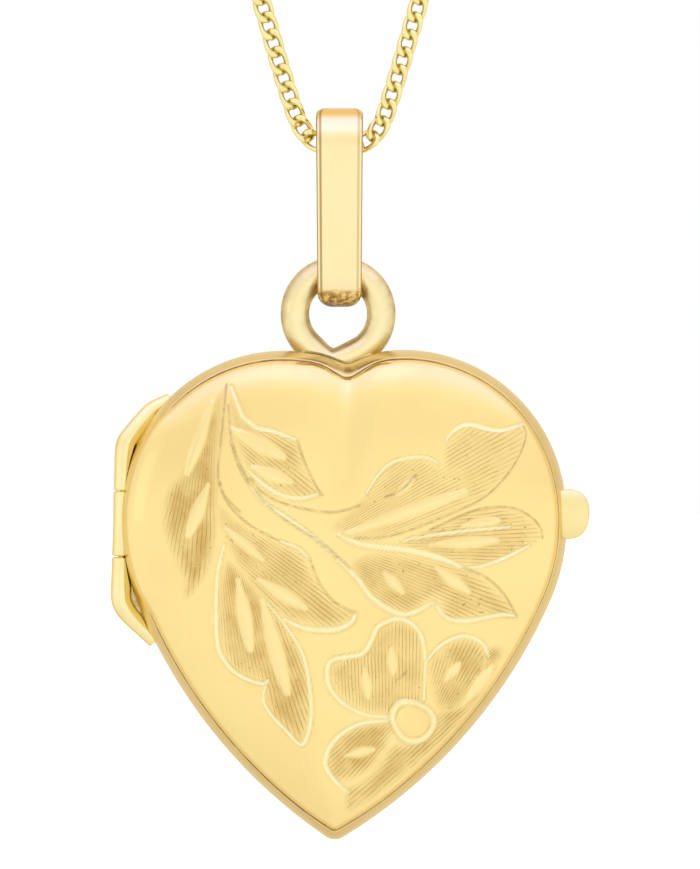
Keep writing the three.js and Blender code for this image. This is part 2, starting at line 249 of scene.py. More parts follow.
def engraved(graph):
    """The cover's face: mirror polish, hand engraving with fine shading cuts, painted highlights.
    """
    clouds = graph.clouds(0.35)
    waver = graph.noise(0.9, 3)
    turn = (graph.attribute("phase") + waver * 0.8) * (2 * pi)
    strokes = turn.maths("SINE", turn)
    broken = graph.noise(1.7, 3).above(0.34, 0.62)
    hatch, tint, cut = (graph.attribute(name) for name in ("hatch", "tint", "cut"))
    lines = strokes.above(0.45, 1.0) * hatch * (broken * 0.7 + 0.3)
    patchy = graph.noise(1.1, 4).above(0.3, 0.7)
    specks = graph.noise(7.0, 1).above(0.69, 0.76) * hatch * (1 - broken * 0.7)
    # Hairlines, and a painted shadow line along each bright cut's edges.
    hairline_and_cut_shade = graph.attribute("hairline_and_cut_shade") * (graph.noise(3.2, 2).above(0.3, 0.6) * 0.6 + 0.4)
    ground = graph.mix(clouds * 0.35, tone(255, 228, 154), tone(250, 216, 142))
    tinted = graph.mix(tint * (patchy * 0.6 + 0.4), ground, tone(214, 177, 100))
    shaded = graph.mix(lines * 0.5, tinted, tone(150, 118, 48))
    chatter = graph.noise(4.0, 3).above(0.25, 0.6) * 0.35 + 0.5
    # Painted highlight on the bright cuts, the lobes' crowns and the flower's ring.
    painted_highlight = graph.mix(cut * chatter, shaded, tone(255, 247, 196))
    dark = hairline_and_cut_shade.maths("MAXIMUM", hairline_and_cut_shade * 0.55, specks * 0.55)
    fine = graph.noise(5.0, 4, (1.0, 1.0, 4.0))
    depth = fine * 0.08 - lines * 0.45 - hairline_and_cut_shade * 0.7 - specks * 0.5
    shine = fine * 0.1 + lines * 0.12 + hatch * 0.08 + 0.13
    return graph.sockets(graph.mix(dark, painted_highlight, tone(110, 84, 26)), shine, 0.12, depth, 0.03, 0.6)


def chain_wire(graph):
    """Drawn wire, with painted shade on each link's inner side, where the links meet."""
    inner_link_shade = graph.attribute("painted_shade")
    grain = graph.noise(9.0, 3)
    spots = graph.noise(3.0, 2).above(0.35, 0.7)
    body = graph.mix(spots * 0.6, tone(252, 240, 168), tone(250, 226, 150))
    # Painted shade on the links' inner sides.
    darkened = graph.mix(inner_link_shade * (grain * 0.5 + 0.6), body, tone(132, 112, 38))
    return graph.sockets(darkened, grain * 0.14 + inner_link_shade * 0.2 + 0.12, 0.1, grain, 0.008, 0.4)


def satin(graph):
    """Brushed inner gold."""
    brush = graph.noise(3.0, 5, (9.0, 9.0, 0.9))
    clouds = graph.noise(0.8, 3).above(0.3, 0.7)
    body = graph.mix(clouds * 0.5 + brush * 0.25, tone(244, 212, 140), tone(214, 176, 98))
    return graph.sockets(body, brush * 0.25 + 0.22, 0.0, brush, 0.012, 0.5)


def bail_gold(graph):
    """Polished gold, painted edge shade and top reflection, its foot rubbed rough by the ring."""
    _, _, height = graph.parts(graph.here)
    clouds = graph.clouds(0.5)
    rub = graph.noise(5.0, 4)
    foot = 1 - (height + rub * 0.3).above(-5.08, -4.86)
    rim = 1 - height.above(-5.64, -5.5)
    marks = graph.noise(5.0, 4, (4.0, 4.0, 0.5))
    body = graph.mix(clouds * 0.3, tone(255, 234, 178), tone(252, 226, 162))
    # Painted warm reflection over the top bend.
    painted_top_reflection = graph.mix(height.above(0.95, 1.25) * 0.6, body, tone(240, 190, 96))
    # Painted shade on the edges and painted dark bevel reflections, where the attribute marks them.
    edge_shaded = graph.mix(graph.attribute("painted_shade") * 0.8, painted_top_reflection, tone(142, 108, 44))
    rubbed = graph.mix(foot * rub.above(0.42, 0.6) * 0.8, edge_shaded, tone(150, 108, 36))
    darkened = graph.mix(rim * 0.8, rubbed, tone(110, 74, 22))
    shine = marks * 0.1 + foot * 0.25 + 0.1
    return graph.sockets(darkened, shine, 0.05, marks * 0.4 - foot * rub * 2, 0.03, 0.5)


FACE = metal("engraved_gold", engraved)
BAND = metal("rim_gold", seamed(tone(240, 216, 148), tone(230, 202, 132), 0.3))
SOLDERED = metal("hinge_gold", seamed(tone(255, 238, 176), tone(252, 226, 156), 0.22, 0.5))
NIB = metal("nib_gold", polished(tone(255, 234, 168), tone(244, 216, 146), 0.26))
RING = metal("ring_gold", seamed(tone(255, 238, 184), tone(250, 228, 164), 0.28, 0.55))
BACK = metal("back_gold", polished(tone(252, 224, 150), tone(240, 206, 130), 0.16))
BAIL = metal("bail_gold", bail_gold)
WIRE = metal("chain_gold", chain_wire)
SATIN = metal("satin_gold", satin)

# ---- making pieces


def held(value):
    """Between 0 and 1."""
    return np.clip(value, 0, 1)


def mesh_of(bm, name, unit=MM):
    """A mesh in metres, from a shape worked in this unit."""
    bmesh.ops.scale(bm, vec=(unit, unit, unit), verts=bm.verts)
    mesh = bpy.data.meshes.new(name)
    bm.to_mesh(mesh)
    bm.free()
    return mesh


def finish_piece(bm, name, material, body, node, place=Matrix(), sharp=None):
    """Puts a shape worked in millimetres in its place, and makes it a piece of the locket."""
    bmesh.ops.transform(bm, matrix=place, verts=bm.verts)
    mesh = mesh_of(bm, name)
    mesh.shade_smooth()
    if sharp is not None:
        mesh.set_sharp_from_angle(angle=radians(sharp))
    mesh.materials.append(material)
    piece = placed(name, mesh)
    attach(piece, body)
    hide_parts(node)
    return piece


def heart_part(bm, name, material, body, node, sharp=None):
    """A piece whose shape is worked about the middle of the heart."""
    return finish_piece(bm, name, material, body, node, HEART, sharp)


def close(bm):
    """Welds the seams and poles, and turns every face outwards."""
    bmesh.ops.remove_doubles(bm, verts=bm.verts, dist=1e-5)
    bmesh.ops.dissolve_degenerate(bm, edges=bm.edges, dist=1e-6)
    bmesh.ops.recalc_face_normals(bm, faces=bm.faces)
    if bm.calc_volume(signed=True) < 0:
        bmesh.ops.reverse_faces(bm, faces=bm.faces)
    return bm


def eased(bm, edges, width):
    """Rounds off these edges."""
    bmesh.ops.bevel(
        bm, geom=edges, offset=width, offset_type="OFFSET", affect="EDGES", segments=3,
        profile=0.5, material=-1, clamp_overlap=True,
    )


def slab(corners, low, high):
    """A solid between two depths, its outline in the XZ plane."""
    bm = bmesh.new()
    face = bm.faces.new([bm.verts.new((x, low, z)) for x, z in corners])
    raised = bmesh.ops.extrude_face_region(bm, geom=[face])["geom"]
    lifted = [v for v in raised if isinstance(v, bmesh.types.BMVert)]
    bmesh.ops.translate(bm, vec=(0, high - low, 0), verts=lifted)
    bmesh.ops.recalc_face_normals(bm, faces=bm.faces)
    return bm


def wrapped(around, across, shape, values=None):
    """A grid wrapped into a closed skin: shape gives the point at each share (around, across)."""
    bm = bmesh.new()
    bmesh.ops.create_grid(bm, x_segments=around, y_segments=across, size=1)
    layer = bm.verts.layers.float.new("painted_shade") if values else None
    for vert in bm.verts:
        u, v = (vert.co.x + 1) / 2, (vert.co.y + 1) / 2
        if layer:
            vert[layer] = values(u, v)
        vert.co = shape(u, v)
    return close(bm)


# ---- the heart


def heart_arcs(inset):
    """The right half of the heart, from the cleft to the tip: centre, radius, angles and steps."""
    flank_x = LOBE_OFFSET + (LOBE_RADIUS - FLANK_RADIUS) * cos(FLANK_ANGLE)
    flank_z = (LOBE_RADIUS - FLANK_RADIUS) * sin(FLANK_ANGLE)
    side_x = flank_x + (FLANK_RADIUS - SIDE_RADIUS) * cos(SIDE_ANGLE)
    side_z = flank_z + (FLANK_RADIUS - SIDE_RADIUS) * sin(SIDE_ANGLE)
    turn = atan2(LOBE_OFFSET, CLEFT_Z)
    tip = max(TIP_RADIUS - inset, 0.05)
    tip_z = side_z - sqrt((SIDE_RADIUS - inset - tip) ** 2 - side_x**2)
    tip_angle = atan2(tip_z - side_z, -side_x)
    return [
        (0, CLEFT_Z, CLEFT_RADIUS + inset, -pi / 2, turn - pi / 2, 4),
        (LOBE_OFFSET, 0, LOBE_RADIUS - inset, pi / 2 + turn, FLANK_ANGLE, 12),
        (flank_x, flank_z, FLANK_RADIUS - inset, FLANK_ANGLE, SIDE_ANGLE, 6),
        (side_x, side_z, SIDE_RADIUS - inset, SIDE_ANGLE, tip_angle, 10),
        (0, tip_z, tip, tip_angle, -pi / 2, 4),
    ]


def half_heart(inset, fine):
    points = []
    for x, z, radius, start, end, steps in heart_arcs(inset):
        for angle in np.linspace(start, end, steps * fine, endpoint=False):
            points.append((x + radius * cos(angle), z + radius * sin(angle)))
    return points + [(0, z - radius)]


def settled(x, z, inner):
    """How far hand finishing has brought the outline down: over the left lobe and in the cleft.

    The inner edge, where the dome is set, dips further in the cleft and rises a little at the tip.
    """
    x, z = np.asarray(x), np.asarray(z)
    cleft = (CLEFT_DROP + 0.19 * inner) * np.exp(-((x / 0.78) ** 2))
    tip = -TIP_LIFT * inner * np.exp(-((x / 0.8) ** 2)) * (z < -6)
    return held(z / 3.5) * (LOBE_DROP * held(-x / 1.6) + cleft) + tip


def beside_hinge(x, z):
    """One along the hinge, falling to nothing past its arms."""
    return held((-np.asarray(x) - 5.6) / 0.8) * held((3.9 - np.abs(z)) / 0.8)


def heart_loop(inset, fine=4):
    """The whole outline, inset, clockwise from the cleft as seen from the front."""
    right = half_heart(inset, fine)
    whole = right + [(-x, z) for x, z in right[-2:0:-1]]
    inner = min(max((inset - 0.1) / 0.2, 0.0), 1.0)
    return [(x, z - float(settled(x, z, inner))) for x, z in whole]


def heart_skin(profile, side, fine=4):
    """A skin through the outline at each (inset, depth, painted shade) of a closed profile."""
    loops = [heart_loop(inset, fine) for inset, _, _ in profile]
    around, across = len(loops[0]), len(profile)

    def at(u, v):
        row = round(v * across) % across
        return row, *loops[row][round(u * around) % around]

    def spot(u, v):
        row, x, z = at(u, v)
        return Vector((x, side * profile[row][1], z))

    def painted_rim_shade(u, v):
        row, x, z = at(u, v)
        # The painted shade is strongest in the cleft and down the left side, and fades out beside
        # the hinge.
        cleft = exp(-((x / 3) ** 2)) * (z > 0)
        kept = 0.4 + 0.6 * max(cleft, x < 0 and z < -4, x < -2 and z > 4)
        return profile[row][2] * kept * (1 - float(beside_hinge(x, z)))

    return wrapped(around, across, spot, painted_rim_shade)


def away_from(arcs, x, z):
    """How far inside these arcs each point is, where an arc faces it."""
    best = np.full(x.shape, 99.0)
    for cx, cz, radius, start, end, _ in arcs:
        angle = np.arctan2(z - cz, x - cx)
        faces = (angle >= min(start, end) - 1e-6) & (angle <= max(start, end) + 1e-6)
        best = np.where(faces, np.minimum(best, radius - np.hypot(x - cx, z - cz)), best)
    return best


def depth_inside(x, z):
    """How far inside the outline each point is; the ridge between the two sides is rounded."""
    cleft, *sides = heart_arcs(0)
    right, left = away_from(sides, x, z), away_from(sides, -x, z)
    nearest = np.minimum(right, left)
    blend = 0.6 * np.clip(nearest, 0.01, 99)
    nearest = nearest - blend / 4 * held(1 - np.abs(right - left) / blend) ** 2
    return np.minimum(nearest, -away_from([cleft[:2] + (cleft[2], -pi, 0, 0)], x, z))


def swell(inside, start, roll, rise):
    """The dome's height over the rim."""
    share = held((inside - start) / roll)
    return rise * (1 - (1 - share) ** 2.6) ** (1 / 2.1)


def domed_sheet(columns, rows, inner_rows, side, relief=None):
    """A domed heart sheet and its inner face, as one closed skin that runs round each column."""
    total = rows + inner_rows + 2
    bm = bmesh.new()
    bmesh.ops.create_grid(bm, x_segments=columns, y_segments=total, size=1)
    grid = np.array([vert.co for vert in bm.verts])
    row = np.rint((grid[:, 1] + 1) / 2 * total)
    row[row == total] = 0
    outer = row <= rows
    share = np.where(outer, row / rows, 1 - (row - rows - 1) / inner_rows)
    share = 0.75 * share + 0.25 * (1 - np.cos(pi * share)) / 2
    across = 0.5 * grid[:, 0] + 0.5 * np.sin(grid[:, 0] * pi / 2)
    x, y, z, edging, flat = (np.zeros(len(grid)) for _ in range(5))
    for faces, start, roll, rise in (
        (outer, DOME_EDGE, DOME_ROLL, DOME_RISE),
        (~outer, DOME_EDGE + SHEET, DOME_ROLL - SHEET, DOME_RISE - SHEET),
    ):
        edge = np.array(half_heart(start, 12))
        widest = int(edge[:, 0].argmax())
        x[faces] = across[faces] * edge[widest, 0]
        wide = np.abs(x[faces])
        top = np.interp(wide, edge[: widest + 1, 0], edge[: widest + 1, 1])
        bottom = np.interp(wide, edge[widest:, 0][::-1], edge[widest:, 1][::-1])
        z[faces] = bottom + (top - bottom) * share[faces]
        inside = depth_inside(x[faces], z[faces])
        upper = held((z[faces] - 0.2) / 4.5) ** 1.2
        crease = np.exp(-((x[faces] / CREASE_WIDTH) ** 2)) * upper
        height = swell(inside, start, roll, rise)
        y[faces] = RIM_HEIGHT + height * (1 - CREASE_DEPTH * crease)
        flat[faces] = held((inside - DOME_EDGE) / 0.2)
        edging[faces] = held(1 - (inside - start) / 2.2)
        hem = held(1 - (inside - start) / 1.5) * beside_hinge(x[faces], z[faces])
        x[faces] -= HINGE_HEM * hem * (side < 0)
    z -= settled(x, z, edging)
    marks = {}
    if relief:
        lift, marks = relief(x, z)
        y[outer] += (lift * flat)[outer]
    layers = {name: bm.verts.layers.float.new(name) for name in marks}
    for index, vert in enumerate(bm.verts):
        vert.co = (x[index], side * y[index], z[index])
        for name, layer in layers.items():
            vert[layer] = marks[name][index] if outer[index] else 0.0
    return close(bm)


# ---- the engraving

# Each leaf and petal: an outline, the point that its shading cuts fan out from, and how dark it is.
LEAVES = {
    "outer_frond": ([(-4.27, 4.39), (-4.98, 3.17), (-5.47, 1.75), (-6.29, 0.59), (-6.44, -0.4),
      (-6.16, -1.45), (-5.63, -2.5), (-5.54, -3.31), (-4.86, -2.55), (-4.53, -1.48),
      (-4.43, -0.06), (-4.48, 1.7), (-4.41, 3.12)], (-4.75, 6.29), 1.0),
    "upper_leaf": ([(-4.2, 4.25), (-3.75, 3.31), (-2.96, 2.84), (-1.67, 2.45), (-1.36, 1.44),
      (-0.77, 0.57), (-1.55, 0.44), (-2.55, 0.77), (-3.34, 1.31), (-3.86, 2.25),
      (-4.14, 3.3)], (-8.06, 5.84), 0.55),
    "inner_leaf": ([(-4.47, 0.11), (-3.64, -0.46), (-2.64, -0.97), (-1.57, -1.4), (-0.9, -2.37),
      (-0.1, -3.3), (0.47, -3.64), (-0.36, -4.15), (-1.49, -3.97), (-2.5, -3.44), (-3.59, -2.16),
      (-4.27, -0.94)], (-8.31, 2.3), 0.6),
    "hanging_leaf": ([(-4.17, -1.82), (-4.34, -3.24), (-4.27, -4.65), (-3.64, -5.76),
      (-2.71, -6.16), (-2.54, -7.01), (-1.95, -7.8), (-1.27, -8.21), (-0.95, -7.03),
      (-1.09, -5.69), (-1.7, -4.37), (-2.79, -3.02), (-3.67, -2.09)], (-4.85, 2.4), 0.8),
    "rising_leaf": ([(-0.46, -0.66), (0.23, 0.14), (0.98, 0.9), (1.53, 1.73), (2.36, 2.04),
      (3.36, 1.75), (3.48, 2.49), (4.24, 3.18), (5.27, 3.04), (6.29, 3.24), (6.31, 2.36),
      (5.5, 1.2), (4.46, 0.36), (2.72, -0.39), (1.32, -0.96)], (-4.27, -3.24), 0.25),
    "level_leaf": ([(2.02, -0.94), (3.42, -0.34), (4.33, 0.15), (5.42, 0.32), (6.48, 0.07),
      (7.04, -0.73), (6.1, -1.43), (4.88, -1.82), (3.46, -1.61),
      (2.39, -1.28)], (-5.03, -1.42), 0.5),
    "lower_leaf": ([(0.35, -1.7), (0.58, -2.47), (1.2, -3.23), (2.38, -3.55), (3.28, -3.03),
      (3.76, -3.72), (4.93, -3.62), (6.23, -3.58), (5.61, -2.68), (4.38, -1.87), (3.1, -1.62),
      (1.68, -1.38)], (-4.01, 0.13), 0.6),
    "left_petal": ([(2.13, -7.16), (0.96, -7.08), (-0.01, -6.48), (-0.39, -5.67), (0.06, -5.1),
      (0.93, -4.68), (1.33, -4.03), (2.1, -3.77), (2.82, -4.17), (3.06, -5.29),
      (3.03, -6.64)], (3.29, -52.49), 0.5),
    "right_petal": ([(3.14, -5.43), (3.75, -4.57), (4.38, -4.3), (5.1, -4.67), (5.26, -5.51),
      (4.65, -6.52), (3.61, -6.97)], (2.53, -9.05), 0.75),
    "low_petal": ([(1.99, -7.44), (0.97, -7.4), (-0.07, -8.07), (-0.37, -8.78), (0.0, -9.55),
      (1.06, -9.27), (1.81, -8.3)], (7.68, -0.96), 0.9),
    "ground": ([(5.17, -4.74), (5.84, -4.9), (4.67, -7.05), (2.95, -8.87), (0.6, -10.59),
      (0.36, -9.82), (1.06, -9.38), (1.94, -8.19), (2.4, -8.17), (3.28, -7.8), (3.61, -6.97),
      (4.65, -6.52)], (12.58, 0.77), 0.8),
}
# Smooth raised lobes in the leaves, painted highlight on top: two ends and half a width.
LOBES = [
    ((-4.75, 3.74), (-5.56, 1.18), 0.18), ((-4.81, 0.81), (-5.46, -1.01), 0.21),
    ((-4.05, 2.81), (-2.19, 1.87), 0.25), ((-3.27, 1.49), (-1.92, 1.0), 0.2),
    ((-2.95, -2.49), (-1.26, -3.44), 0.21), ((-4.17, -0.69), (-2.83, -1.78), 0.16),
    ((-3.66, -2.51), (-3.16, -4.97), 0.23), ((-2.79, -3.2), (-1.81, -6.46), 0.25),
    ((0.08, -0.78), (4.27, 0.82), 0.21), ((1.84, 0.64), (2.39, 1.19), 0.14),
    ((4.2, -0.42), (5.47, -0.17), 0.2), ((3.09, -1.09), (5.45, -0.88), 0.18),
    ((1.49, -2.12), (2.15, -2.78), 0.18), ((3.32, -1.89), (4.48, -2.71), 0.2),
    ((0.88, -5.5), (1.05, -6.55), 0.14), ((1.81, -4.76), (1.91, -5.68), 0.16),
    ((3.75, -5.88), (4.23, -5.26), 0.16), ((0.33, -8.62), (1.28, -8.38), 0.16),
    ((4.45, -6.74), (5.4, -5.37), 0.18),
]
# Bevelled cuts with a painted highlight and painted shadow edges: a line and its width at the
# widest.
BRIGHT_CUTS = [
    ([(-4.09, 4.33), (-3.9, 3.84), (-3.64, 3.28), (-3.17, 2.91), (-2.67, 2.81), (-2.25, 2.68),
      (-1.71, 2.49)], 0.17),
    ([(-3.38, 1.34), (-3.05, 1.04), (-2.62, 0.73), (-2.11, 0.5), (-1.48, 0.44),
      (-0.92, 0.6)], 0.17),
    ([(-2.21, -1.1), (-1.57, -1.33), (-1.13, -1.74)], 0.12),
    ([(0.54, -3.56), (0.41, -3.88), (-0.08, -4.15), (-0.78, -4.2), (-1.42, -4.11),
      (-1.99, -3.85)], 0.2),
    ([(-3.32, 0.82), (-2.81, 0.27), (-2.02, -0.24), (-1.16, -0.82), (-0.07, -1.71)], 0.14),
    ([(0.78, 0.65), (1.12, 1.22), (1.53, 1.69), (2.01, 1.92), (2.58, 2.01), (3.04, 1.95),
      (3.33, 1.78)], 0.14),
    ([(3.55, 2.63), (3.93, 3.07), (4.38, 3.22), (4.91, 3.1), (5.52, 3.04), (6.22, 3.27)], 0.17),
    ([(-0.17, -0.79), (0.62, -1.12), (2.03, -1.26), (3.1, -1.44), (3.81, -1.67),
      (4.28, -1.87)], 0.22),
    ([(2.03, -0.98), (3.43, -0.69), (4.66, -0.51), (5.89, -0.37)], 0.12),
    ([(4.28, -1.87), (4.94, -1.78), (5.78, -1.44), (6.62, -0.99)], 0.12),
    ([(6.23, -3.54), (5.63, -3.49), (4.5, -3.73), (3.76, -3.65), (3.29, -3.1)], 0.16),
    ([(3.29, -3.1), (2.38, -3.55), (1.74, -3.42), (1.06, -2.98), (0.54, -2.33),
      (-0.15, -1.71)], 0.2),
    ([(-4.18, -1.29), (-4.4, -2.53), (-4.34, -4.65), (-4.03, -5.42), (-3.49, -5.9), (-2.71, -6.16),
      (-2.5, -6.01)], 0.17),
    ([(-2.5, -6.01), (-2.66, -6.66), (-2.39, -7.21), (-1.88, -7.73), (-1.23, -8.28),
      (-0.94, -7.38), (-1.01, -6.33), (-1.25, -5.2), (-1.77, -4.3), (-2.57, -3.33)], 0.15),
    ([(2.06, -7.19), (0.96, -7.15), (0.07, -6.69), (-0.38, -6.03), (-0.33, -5.32), (0.23, -5.13),
      (0.8, -5.0), (1.1, -4.57), (1.37, -4.0), (2.1, -3.73), (2.75, -4.1), (3.02, -4.98),
      (3.03, -6.57)], 0.19),
    ([(3.03, -5.29), (3.4, -4.79), (3.82, -4.46), (4.41, -4.27), (5.02, -4.5),
      (5.28, -4.98)], 0.16),
    ([(1.92, -7.34), (0.79, -7.48), (-0.07, -8.07), (-0.4, -8.85), (-0.07, -9.48),
      (0.44, -9.93)], 0.19),
]
# Hairline cuts: fine dark lines.
HAIRLINES = [
    [(-1.71, 2.49), (-1.52, 1.96), (-1.29, 1.44), (-0.99, 0.88), (-0.77, 0.57)],
    [(-1.13, -1.74), (-0.83, -2.44), (-0.39, -3.06), (0.11, -3.4), (0.54, -3.56)],
    [(-4.39, 0.93), (-4.16, 0.3), (-3.65, -0.29), (-3.0, -0.73), (-2.21, -1.1)],
    [(-4.08, 2.42), (-3.69, 1.37), (-3.32, 0.82)],
    [(-3.33, 1.1), (-2.9, 0.62), (-2.25, 0.28), (-1.36, 0.06), (-0.3, -0.02), (0.58, 0.25)],
    [(6.29, 3.21), (6.4, 2.86), (6.18, 2.18), (5.77, 1.5), (5.15, 0.81), (4.46, 0.36),
      (3.07, -0.28), (1.67, -0.81), (0.43, -0.92)],
    [(1.45, 0.56), (2.01, 0.82), (2.52, 1.37)],
    [(3.07, -0.56), (4.12, -0.04), (4.99, 0.27), (5.95, 0.3), (6.59, 0.03), (6.99, -0.38),
      (7.07, -0.73)],
    [(4.28, -1.87), (5.06, -2.16), (5.75, -2.75), (6.23, -3.54)],
    [(-4.27, 4.39), (-4.37, 2.77), (-4.47, 1.35), (-4.31, 0.58), (-3.65, -0.11)],
    [(-4.18, 3.65), (-4.01, 2.42), (-3.4, 1.03), (-2.42, -0.08), (-0.87, -1.06), (0.29, -1.98)],
    [(2.0, -5.95), (2.35, -5.62)],
]
FLOWER_CENTRE, FLOWER_RADIUS = (2.66, -7.35), 0.71
HATCH_PITCH = 0.12
LEAF_DEPTH, LOBE_HEIGHT, CUT_DEPTH, HAIR_DEPTH, DISC_HEIGHT = 0.035, 0.05, 0.06, 0.02, 0.05


def curve_through(points, closed=False, steps=6):
    """A smooth line through the points."""
    before, after = (points[-1:], points[:2]) if closed else (points[:1], points[-1:])
    knots = np.array([*before, *points, *after], float)
    line = []
    for a, b, c, d in zip(knots, knots[1:], knots[2:], knots[3:]):
        for t in np.arange(steps) / steps:
            line.append(
                (2 * b + (c - a) * t + (2 * a - 5 * b + 4 * c - d) * t**2
                 + (3 * b - a - 3 * c + d) * t**3) / 2
            )
    return np.array(line if closed else line + [knots[-1]])


def distance_to(line, x, z, reach):
    """How far each point is from a line, up to reach, and its share of the way along."""
    far, along = np.full(x.shape, reach), np.zeros(x.shape)
    low, high = line.min(0) - reach, line.max(0) + reach
    near = np.flatnonzero((x > low[0]) & (x < high[0]) & (z > low[1]) & (z < high[1]))
    px, pz = x[near], z[near]
    best, where = far[near], along[near]
    for k, (start, end) in enumerate(zip(line[:-1], line[1:])):
        run = end - start
        reached = (px - start[0]) * run[0] + (pz - start[1]) * run[1]
        t = held(reached / max(run @ run, 1e-9))
        away = np.hypot(px - start[0] - t * run[0], pz - start[1] - t * run[1])
        where = np.where(away < best, (k + t) / (len(line) - 1), where)
        best = np.minimum(best, away)
    far[near], along[near] = best, where
    return far, along


def inside_of(line, x, z):
    """Which points lie inside a closed line."""
    within = np.zeros(x.shape, bool)
    for (ax, az), (bx, bz) in zip(line, np.roll(line, -1, axis=0)):
        crosses = (az > z) != (bz > z)
        slant = (bx - ax) * (z - az) / (bz - az if bz != az else 1e-9) + ax
        within ^= crosses & (x < slant)
    return within


def engraving(x, z):
    """The height of the engraving at each point, and the marks that its finish reads."""
    lift, hatch, phase, cut, hairline_and_cut_shade, tint = (np.zeros(x.shape) for _ in range(6))
    for outline, (fan_x, fan_z), shade in LEAVES.values():
        line = curve_through(outline, closed=True)
        edge, _ = distance_to(np.vstack([line, line[:1]]), x, z, 0.6)
        within = inside_of(line, x, z)
        strength = np.where(within, held(edge / 0.2), 0)
        middle = line.mean(0)
        spread = hypot(middle[0] - fan_x, middle[1] - fan_z)
        fan = np.arctan2(z - fan_z, x - fan_x) * spread / HATCH_PITCH
        phase = np.where(within, fan, phase)
        hatch = np.maximum(hatch, strength)
        tint = np.maximum(tint, np.where(within, np.clip(edge / 0.4, 0.2, 1), 0) * shade)
        lift -= np.where(within, LEAF_DEPTH * held(edge / 0.35), 0)
    for start, end, width in LOBES:
        line = np.array([start, end])
        away, along = distance_to(line, x, z, 2 * width)
        girth = 1.4 * width * (0.2 + 0.8 * np.sin(pi * np.clip(along * 0.9, 0.05, 0.95)))
        bulge = held(1 - (away / girth) ** 2)
        lift += LOBE_HEIGHT * bulge**1.3
        hatch *= 1 - held(bulge * 2)
        tint *= 1 - 0.9 * held(bulge * 1.6)
        # Painted highlight on the lobe's crown.
        cut = np.maximum(cut, 0.3 * bulge)
    for points, width in BRIGHT_CUTS:
        away, along = distance_to(curve_through(points), x, z, width)
        girth = 0.6 * width * (0.4 + 0.6 * np.sin(pi * np.clip(along, 0.03, 0.97)) ** 0.5)
        bevel = held(1 - away / girth)
        lift -= CUT_DEPTH * bevel
        # Painted highlight on the bright cut.
        cut = np.maximum(cut, held(bevel * 1.4))
        hatch *= 1 - held(bevel * 3)
        tint *= 1 - held(bevel * 3)
        # Painted shadow line along the cut's edges.
        fringe = held(1 - np.abs(away - girth) / 0.045)
        hairline_and_cut_shade = np.maximum(hairline_and_cut_shade, 0.4 * fringe * (away < width))
    for points in HAIRLINES:
        away, _ = distance_to(curve_through(points), x, z, 0.09)
        scratch = held(1 - away / 0.06)
        lift -= HAIR_DEPTH * scratch
        hairline_and_cut_shade = np.maximum(hairline_and_cut_shade, scratch)
    from_centre = np.hypot(x - FLOWER_CENTRE[0], z - FLOWER_CENTRE[1])
    turn = np.arctan2(z - FLOWER_CENTRE[1], x - FLOWER_CENTRE[0])
    from_centre /= 1 + 0.07 * np.cos(2 * turn + 1.2) + 0.05 * np.cos(3 * turn - 1)
    disc = from_centre < FLOWER_RADIUS - 0.1
    band = held(1 - np.abs(from_centre - FLOWER_RADIUS) / 0.13)
    lift = np.where(from_centre < FLOWER_RADIUS + 0.13, 0.02 + 0.05 * band, lift)
    cushion = np.sqrt(held(1 - (from_centre / 0.61) ** 2))
    lift += np.where(disc, DISC_HEIGHT * cushion, 0)
    hatch[from_centre < FLOWER_RADIUS + 0.12] = 0
    tint[from_centre < FLOWER_RADIUS + 0.12] = 0.1
    # Painted highlight on the flower's raised ring.
    cut = np.where(from_centre < FLOWER_RADIUS + 0.13, 0.9 * band, cut)
    rings = held(1 - np.abs(np.abs(from_centre - FLOWER_RADIUS) - 0.13) / 0.05)
    hairline_and_cut_shade = np.where(from_centre < FLOWER_RADIUS + 0.18, rings * 0.6, hairline_and_cut_shade)
    return lift, {"hatch": hatch, "phase": phase, "tint": tint, "cut": cut, "hairline_and_cut_shade": hairline_and_cut_shade}


# ---- chain


def chain_line(spacing):
    """Points along the chain, evenly spaced, in millimetres."""
    knots = np.array([(x, 0, z) for x, z in CHAIN_ROUTE], float)
    knots = np.vstack([2 * knots[0] - knots[1], knots, 2 * knots[-1] - knots[-2]])
    line = []
    for p in (knots[k : k + 4] for k in range(len(knots) - 3)):
        t = np.concatenate([[0], np.cumsum(np.linalg.norm(np.diff(p, axis=0), axis=1) ** 0.5)])
        for s in np.linspace(t[1], t[2], 24, endpoint=False):

            def between(low, high, first, second):
                return ((t[high] - s) * first + (s - t[low]) * second) / (t[high] - t[low])

            a = [between(k, k + 1, p[k], p[k + 1]) for k in range(3)]
            b = [between(k, k + 2, a[k], a[k + 1]) for k in range(2)]
            line.append(between(1, 2, *b))
    line = np.array(line + [knots[-2]])
    along = np.concatenate([[0], np.cumsum(np.linalg.norm(np.diff(line, axis=0), axis=1))])
    at = np.linspace(0, along[-1], round(along[-1] / spacing) + 1)
    return np.stack([np.interp(at, along, line[:, k]) for k in range(3)], axis=1)


